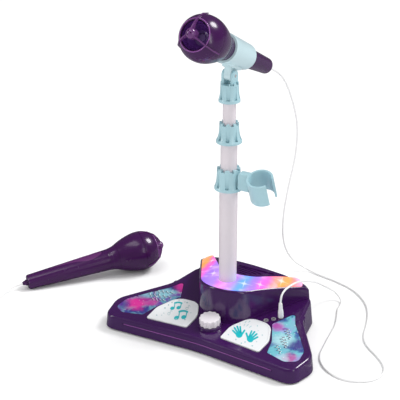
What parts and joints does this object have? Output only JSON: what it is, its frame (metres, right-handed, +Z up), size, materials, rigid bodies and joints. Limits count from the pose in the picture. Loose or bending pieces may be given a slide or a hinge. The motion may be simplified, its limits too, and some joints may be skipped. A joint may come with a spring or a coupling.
{
  "type": "toy microphone",
  "caption": "Toy singing stand: winged base with press pads, knob and light panel, telescoping pole with tilting microphone clip, wired microphones and holder.",
  "frame": {"origin": "on the floor on the pole's axis, at the underside of the round foot under the pole", "axes": "+Z up along the pole, -Y towards the front edge with the play pads, +X to the singer's right when facing the pads from the front"},
  "size_m": [0.6186, 0.3739, 0.4747],
  "materials": {
    "shell_purple": "glossy moulded",
    "glow_panel": "translucent, lit from below",
    "dark_inner": "matte",
    "board_green": "solder mask",
    "led_lens": "clear lens",
    "jack_metal": "plated",
    "cell_wrap": "wrapped cell",
    "foot_rubber": "soft rubber",
    "printed_decal": "printed film",
    "pad_white": "printed moulded plastic",
    "knob_white": "satin moulded",
    "tube_white": "smooth extruded",
    "aqua_plastic": "satin moulded",
    "mic_purple": "glossy moulded",
    "grip_purple": "satin moulded",
    "bowl_violet": "glossy moulded",
    "lead_white": "soft sheath"
  },
  "bodies": {
    "base": {"top_shell": "shell_purple", "bottom_cover": "shell_purple", "light_panel": "glow_panel", "rear_grille": "shell_purple", "speaker": "dark_inner", "main_board": "board_green", "led_board": "board_green", "leds": "led_lens", "pad_boards": "dark_inner", "volume_pot": "dark_inner", "jack_sockets": "jack_metal", "battery_box": "dark_inner", "battery_door": "shell_purple", "batteries": "cell_wrap", "door_screw": "jack_metal", "housing_screws": "jack_metal", "feet": "foot_rubber", "left_decal": "printed_decal", "right_decal": "printed_decal", "pole_socket": "dark_inner", "lower_tube": "tube_white", "left_pad_dome": "foot_rubber", "right_pad_dome": "foot_rubber", "stand_lead": "lead_white", "stand_lead_plug": "lead_white", "stand_lead_pin": "jack_metal"},
    "left_pad": {"left_pad": "pad_white"},
    "right_pad": {"right_pad": "pad_white"},
    "volume_knob": {"volume_knob": "knob_white"},
    "lower_collar": {"lower_collar": "aqua_plastic", "spare_holder": "aqua_plastic"},
    "middle_tube": {"middle_tube": "tube_white"},
    "middle_collar": {"middle_collar": "aqua_plastic"},
    "top_tube": {"top_tube": "tube_white"},
    "top_collar": {"top_collar": "aqua_plastic", "pivot_pin": "jack_metal"},
    "mic_clip": {"mic_clip": "aqua_plastic"},
    "stand_mic": {"mic_handle": "mic_purple", "mic_grips": "grip_purple", "mic_nozzle": "mic_purple", "mic_head_rear": "mic_purple", "mic_head_front": "mic_purple", "mic_bowl": "bowl_violet", "mic_capsule": "dark_inner", "mic_guard": "mic_purple"},
    "spare_mic": {"spare_mic_handle": "mic_purple", "spare_mic_grips": "grip_purple", "spare_mic_nozzle": "mic_purple", "spare_mic_head_rear": "mic_purple", "spare_mic_head_front": "mic_purple", "spare_mic_bowl": "bowl_violet", "spare_mic_capsule": "dark_inner", "spare_mic_guard": "mic_purple", "spare_lead": "lead_white", "spare_lead_coil": "lead_white", "spare_lead_tie": "lead_white", "spare_lead_plug": "lead_white", "spare_lead_pin": "jack_metal"}
  },
  "joints": [
    {"name": "left_pad_press", "type": "slide", "parent": "base", "child": "left_pad", "axis": [0, 0.1045, -0.9945], "range_m": [0, 0.0022], "stiffness_N_per_m": 300, "springref_m": -0.003, "deforming": ["left_pad_dome"]},
    {"name": "right_pad_press", "type": "slide", "parent": "base", "child": "right_pad", "axis": [0, 0.1045, -0.9945], "range_m": [0, 0.0022], "stiffness_N_per_m": 300, "springref_m": -0.003, "deforming": ["right_pad_dome"]},
    {"name": "volume_turn", "type": "hinge", "parent": "base", "child": "volume_knob", "pos_m": [0, -0.04724, 0.02663], "axis": [0, -0.1045, 0.9945], "range_deg": [-140, 140]},
    {"name": "lower_collar_twist", "type": "hinge", "parent": "base", "child": "lower_collar", "pos_m": [0, 0, 0.23], "axis": [0, 0, 1], "range_deg": [-45, 45]},
    {"name": "middle_slide", "type": "slide", "parent": "base", "child": "middle_tube", "axis": [0, 0, 1], "range_m": [-0.028, 0.1]},
    {"name": "middle_collar_twist", "type": "hinge", "parent": "middle_tube", "child": "middle_collar", "pos_m": [0, 0, 0.295], "axis": [0, 0, 1], "range_deg": [-45, 45]},
    {"name": "top_slide", "type": "slide", "parent": "middle_tube", "child": "top_tube", "axis": [0, 0, 1], "range_m": [-0.024, 0.11]},
    {"name": "top_swivel", "type": "hinge", "parent": "top_tube", "child": "top_collar", "pos_m": [0, 0, 0.35], "axis": [0, 0, 1], "range_deg": [-60, 60]},
    {"name": "clip_tilt", "type": "hinge", "parent": "top_collar", "child": "mic_clip", "pos_m": [0, 0, 0.3768], "axis": [1, 0, 0], "range_deg": [-45, 50]},
    {"name": "mic_slide", "type": "slide", "parent": "mic_clip", "child": "stand_mic", "axis": [0, -0.9042, 0.4271], "range_m": [0, 0.12]},
    {"name": "spare_lift", "type": "slide", "parent": "base", "child": "spare_mic", "axis": [0, 0, 1], "range_m": [0, 0.15]}
  ]
}
